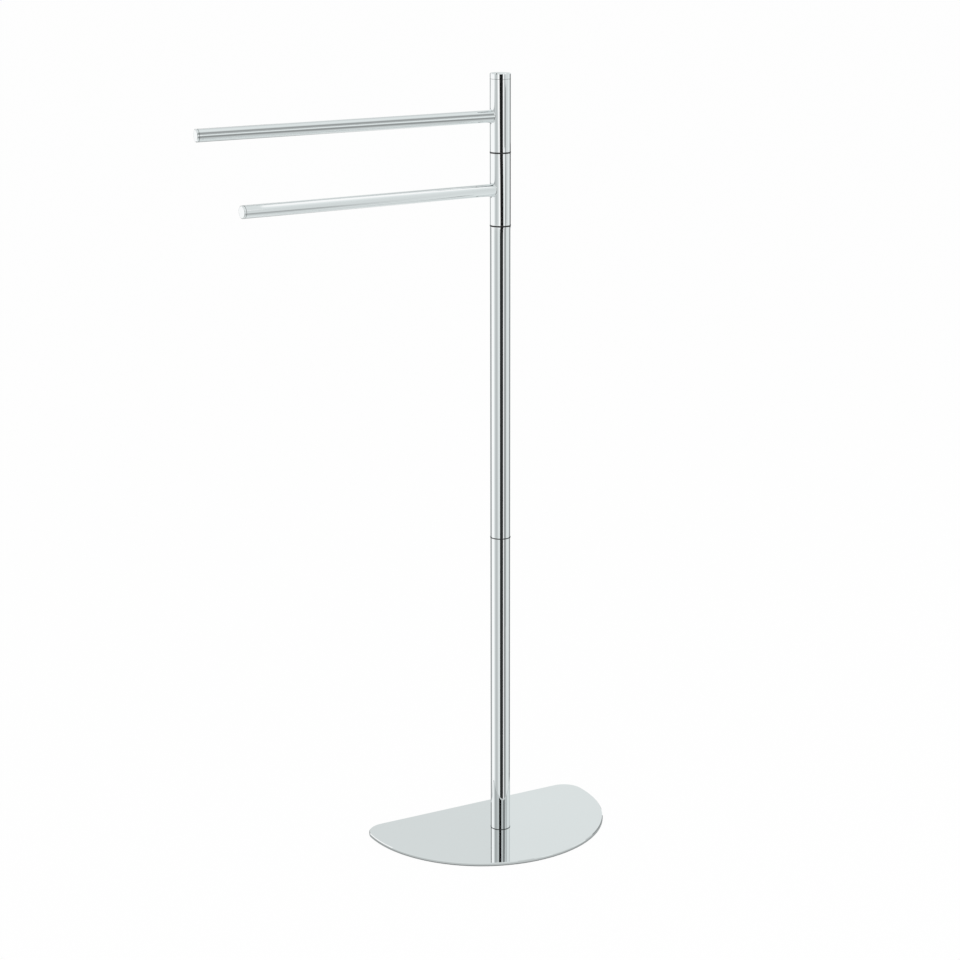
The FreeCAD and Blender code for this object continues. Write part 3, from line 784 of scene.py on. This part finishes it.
# %% [markdown]
# ### The far ring
#
# Between bearings of about 31 and 67 degrees, and up to 75 beside the hubs, the near ring is open.
# Through this window the post and the arms see the far ring, eight metres off. The front of each
# arm mirrors one narrow part of it from top to bottom, so the two tall arm flags change their tone
# with height, which draws the thin lines along the arms. The post sees the same flags, but only at
# a few heights. The grey hub flag and foot flag carry the near flag's stripe on above and below it,
# and the two high cards are what the post's foot sees by way of the plate.

# %% Far cards
FAR_RING = 8.0
FAR_HIGH_TIER = (3.2, 3.85)
FAR_FRONT_RING = FAR_RING - 0.1
HUB_FLAG_GREY = 0.33

upright_card("far_grey_flag", [(30, 0.21), (56, 0.24)], *FAR_HIGH_TIER, ring=FAR_RING)
upright_card("far_pale_card", [(56, 0.50), (76, 0.52)], *FAR_HIGH_TIER, ring=FAR_RING)
tall_card("slim_pale_card", 31, 41.5, [(-4.2, 0.95), (0.6, 1.0)], FAR_RING)
tall_card("upper_arm_flag", 41.5, 57, [(-6.8, 0.55), (-4.6, 0.42), (-3.0, 0.27), (-2.2, 0.28), (-0.9, 0.40),
                                       (0.30, 0.50), (0.55, 0.74), (1.6, 0.84), (2.4, 0.76), (3.15, 0.56)],
          FAR_RING)
tall_card("lower_arm_flag", 57, 74, [(-7.0, 0.78), (-5.6, 0.66), (-4.6, 0.42), (-3.6, 0.48), (-2.4, 0.66),
                                     (-0.75, 0.72), (1.5, 0.72), (3.15, 0.74)], FAR_RING)
leaning_card("grey_hub_flag", [(-0.62, 55, 66), (-0.335, 55, 66), (-0.33, 55.5, 72), (-0.04, 55.5, 71),
                               (0.02, 54.5, 67.5), (0.31, 54.5, 67.5)], HUB_FLAG_GREY, ring=FAR_FRONT_RING)
tall_card("grey_foot_flag", 56, 66, [(-3.6, 0.36), (-2.3, 0.38)], FAR_FRONT_RING)
print("The far cards stand on a ring of", FAR_RING, "m.")

# %% [markdown]
# ### Cards for the arms
#
# A level tube mirrors the room the other way: across its width it sweeps from the floor in front,
# up over the ceiling and down behind. So the long thin lines on the arms are the images of long
# cards that lie level, along the arms. Each arm has a curved shell parallel to its axis. The camera
# looks at the arms slantwise, from the side of their free ends, so what they mirror lies past the
# post, and that is where the shells are: their reach is negative. Flat cards would do as well, but
# on a shell an angle is the same as at the arm. The stops are such angles in degrees, 0 level in
# front of the arm and 90 straight above it.

# %% Shells along the arms
SHELL_DISTANCE = 7.0
SHELL_STEP = 6


def shell_along_arm(name, arm, reach, stops):
    """A curved card parallel to an arm. Each stop is a lift above level and the brightness there.
    Reach is how far the card starts and ends, from the post's axis towards the arm's free end."""
    line = LINE[arm]
    front = Vector((0, 0, 1)).cross(line).normalized()
    above = line.cross(front).normalized()
    steps = between(stops, SHELL_STEP)
    points = []
    for lift, _ in steps:
        side = front * math.cos(math.radians(lift)) + above * math.sin(math.radians(lift))
        points += [SWIVEL[arm] + side * SHELL_DISTANCE + line * along for along in reach]
    glows = [grey(tone) for _, tone in steps for _ in reach]
    faces = [(2 * i, 2 * i + 1, 2 * i + 3, 2 * i + 2) for i in range(len(steps) - 1)]
    return card(name, points, faces, glows)


shell_along_arm("upper_arm_shell", "upper_arm", (-3.40, -1.70),
                [(19.5, 0.52), (27, 0.44), (36, 0.32), (46, 0.32), (54, 0.54), (64, 0.77), (80, 0.83),
                 (104, 0.79), (125, 0.66), (140, 0.66)])
shell_along_arm("lower_arm_shell", "lower_arm", (-4.95, -3.40),
                [(19.5, 0.73), (30, 0.74), (44, 0.80), (58, 0.86), (70, 1.0), (104, 1.0), (112, 0.76),
                 (122, 0.44), (132, 0.50), (140, 0.70)])
print("The shells curve round the arms at", SHELL_DISTANCE, "m.")

# %% [markdown]
# ### Ceiling, pit and backdrop
#
# Large pale cards above, below and behind give the arms and the foot plate their calm light grey.
# Two black flags hang just under the ceiling. Near its root, the top of an arm mirrors the hub, and
# the hub mirrors that part of the ceiling, so each arm gets the short dark line that the photograph
# shows there. The lower flag keeps clear of the curve that the plate's bevel mirrors.

# %% Ceiling, pit and backdrop
CEILING_HEIGHT = 9.0
CEILING_HALF = 14
PIT_HALF = 2.5
CEILING_FLAG_HEIGHT = 8.9
CEILING_BLACK = 0.04
LOWER_FLAG_OUTLINE = [(-3.5, -3.2), (-4.75, -1.77), (-5.95, -0.24), (-6.4, 0.5), (-8.0, 0.5), (-8.0, -4.6),
                      (-3.2, -4.6)]
BACKDROP_TIER = (0.65, 2.2)
BACKDROP_RING = 3.0


def level_card(name, outline, height, tone):
    """A flat level card inside an outline of x and y."""
    points = [(x, y, height) for x, y in outline]
    return card(name, points, [tuple(range(len(points)))], [grey(tone)] * len(points))


def oblong(x0, y0, x1, y1):
    """The outline of an oblong between two corners."""
    return [(x0, y0), (x1, y0), (x1, y1), (x0, y1)]


level_card("ceiling", oblong(-CEILING_HALF, -CEILING_HALF, CEILING_HALF, CEILING_HALF),
           CEILING_HEIGHT, 0.76)
level_card("ceiling_flag_upper", oblong(-3.95, -1.8, -2.2, 2.6), CEILING_FLAG_HEIGHT, CEILING_BLACK)
level_card("ceiling_flag_lower", LOWER_FLAG_OUTLINE, CEILING_FLAG_HEIGHT, CEILING_BLACK)
level_card("pit", oblong(-PIT_HALF, -PIT_HALF, PIT_HALF, PIT_HALF), CARD_FOOT, 0.73)
upright_card("plate_backdrop_left", [(148, 0.79), (180, 0.79)], *BACKDROP_TIER, ring=BACKDROP_RING)
upright_card("plate_backdrop_right", [(180, 0.73), (193, 0.73)], *BACKDROP_TIER, ring=BACKDROP_RING)
print("The ceiling is at", CEILING_HEIGHT, "m and the pit at", CARD_FOOT, "m.")

# %% [markdown]
# ### Shade round the plate
#
# The plate's low rim mirrors the floor just beside it, which is darker there: it lies in the
# plate's own shade. The lamps would make that shade if the metal saw the floor. As it doesn't, the
# shade is one more card, which follows the plate's outline just above the floor. Each of its rings
# is a distance from the rim, in metres, and the brightness there, and it is darkest on the side
# that faces the camera. For each direction it starts from the outermost point of the plate, so it
# fits whatever outline the frame has.

# %% Shade round the plate
SHADE_RINGS = [(-0.002, 0.18), (0.0025, 0.20), (0.0045, 0.54), (0.008, 0.58), (0.016, 0.56)]
SHADE_SIDES = 180
SHADE_HEIGHT = 0.0002
SIDE_SHADE = 0.42

to_camera = Vector(on_ring(0, 0.0, 1.0))
plate_points = [vertex.co for vertex in nodes["base_plate"].data.vertices]
shade_points = []
shade_glows = []
for turn in range(SHADE_SIDES):
    angle = 2 * math.pi * turn / SHADE_SIDES
    outward = Vector((math.cos(angle), math.sin(angle), 0.0))
    rim = max(plate_points, key=outward.dot)
    facing = max(0.0, outward.dot(to_camera)) ** 2
    for gap, tone in SHADE_RINGS:
        shade_points.append((rim.x + outward.x * gap, rim.y + outward.y * gap, SHADE_HEIGHT))
        shade_glows.append(grey(tone * facing + max(tone, SIDE_SHADE) * (1 - facing)))
span = len(SHADE_RINGS)
shade_faces = []
for turn in range(SHADE_SIDES):
    here = turn * span
    there = (turn + 1) % SHADE_SIDES * span
    shade_faces += [(here + i, here + i + 1, there + i + 1, there + i) for i in range(span - 1)]
card("floor_shade", shade_points, shade_faces, shade_glows)
print("The shade has", len(shade_faces), "faces.")

# %% [markdown]
# ### Lamps
#
# Two large soft lamps light what isn't mirror: the rings, the sheet and the floor. Small lamps or a
# sun would give hard shadows, and large ones give soft shadows. They are kept plain, and mirror
# rays don't see them, because the cards do that work.

# %% Lamps
AIM_POINT = Vector((0.0, 0.0, 0.5))


def soft_lamp(name, place, size, watts):
    """A large square lamp aimed at the middle of the stand."""
    data = bpy.data.lights.new(name, "AREA")
    data.shape = "SQUARE"
    data.size = size
    data.energy = watts
    lamp = bpy.data.objects.new(name, data)
    bpy.context.scene.collection.objects.link(lamp)
    lamp.location = place
    lamp.rotation_mode = "QUATERNION"
    lamp.rotation_quaternion = (AIM_POINT - Vector(place)).to_track_quat("-Z", "Y")
    lamp.visible_glossy = False
    return lamp


key_lamp = soft_lamp("key_lamp", (-1.8, -1.6, 2.6), 1.6, 22.0)
fill_lamp = soft_lamp("fill_lamp", (2.2, -0.8, 2.0), 1.8, 10.0)
print("The lamps give", key_lamp.data.energy, "and", fill_lamp.data.energy, "watts.")
